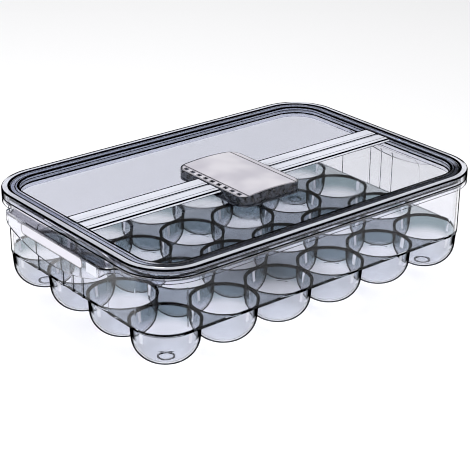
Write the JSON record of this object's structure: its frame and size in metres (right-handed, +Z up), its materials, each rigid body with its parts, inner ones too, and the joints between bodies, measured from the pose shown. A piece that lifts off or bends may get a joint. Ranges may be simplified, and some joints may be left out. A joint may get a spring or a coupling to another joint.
{
  "type": "egg storage box",
  "caption": "Clear smoky plastic fridge box with rounded egg cups, end handles and a lift-off sealed lid with a crossbar and a dark knob block.",
  "frame": {"origin": "middle of the footprint, on the surface that the box stands on", "axes": "+X along the long side, through both end handles; +Z up"},
  "size_m": [0.333, 0.2136, 0.0832],
  "materials": {
    "tray_plastic": "clear polystyrene, slightly smoky, moulded glossy",
    "lid_plastic": "clear polystyrene, slightly smoky, moulded glossy",
    "seal": "dark grey silicone, moulded satin",
    "bar_plastic": "clear polystyrene, paler than the lid, moulded glossy",
    "knob_dark": "dark smoky plastic, moulded glossy",
    "plate_satin": "pale silver-white ABS, moulded satin",
    "screw_steel": "zinc-plated steel",
    "inlay_satin": "white ABS, moulded satin"
  },
  "bodies": {
    "tray": {"tray": "tray_plastic", "grip_inlay_right": "inlay_satin", "grip_inlay_left": "inlay_satin"},
    "lid": {"lid": "lid_plastic", "seal_ring": "seal", "crossbar": "bar_plastic", "knob_base": "knob_dark", "knob_plate": "plate_satin", "knob_backing": "knob_dark", "knob_screws": "screw_steel"}
  },
  "joints": [
    {"name": "lid_lift", "type": "slide", "parent": "tray", "child": "lid", "axis": [0, 0, 1], "range_m": [0, 0.09]}
  ]
}
